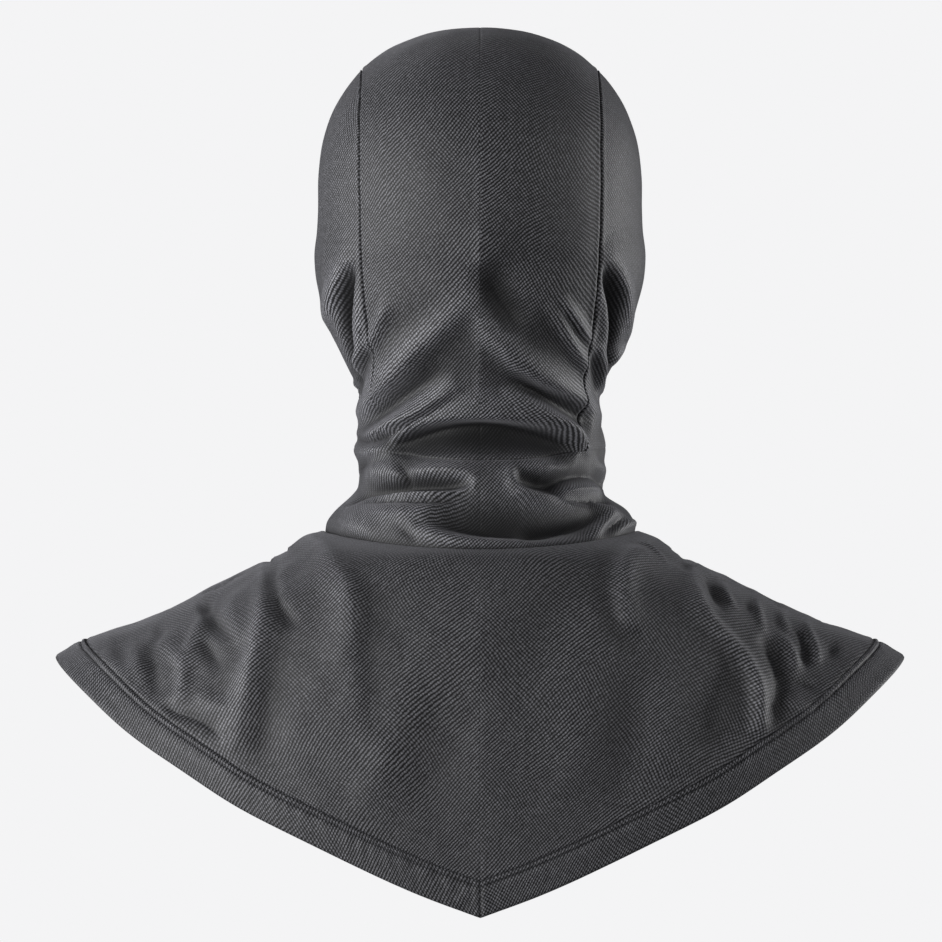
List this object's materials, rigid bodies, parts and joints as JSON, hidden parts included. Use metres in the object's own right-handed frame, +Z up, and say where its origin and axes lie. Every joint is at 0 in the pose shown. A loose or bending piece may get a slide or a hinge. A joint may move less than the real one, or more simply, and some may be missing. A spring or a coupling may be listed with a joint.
{
  "type": "convertible balaclava",
  "caption": "Knitted hood in the form it has when worn, with a face panel, a gathered neck and a shoulder cape whose wide hem ends in a V.",
  "frame": {"origin": "where the inside of the crown rests on the top of the head", "axes": "+Z up, the face towards -Y and the back of the head towards +Y, +X towards the wearer's left"},
  "size_m": [0.4368, 0.2413, 0.4466],
  "materials": {
    "knit": "charcoal twill-faced knit with a slight sheen",
    "hem_knit": "the same knit turned up and topstitched"
  },
  "bodies": {
    "root": {"crown_left": "knit", "crown_right": "knit", "side_left": "knit", "side_right": "knit", "gaiter_left": "knit", "gaiter_right": "knit", "mask_panel": "knit", "cape_left": "knit", "cape_right": "knit", "hem_left": "hem_knit", "hem_right": "hem_knit"}
  },
  "joints": []
}
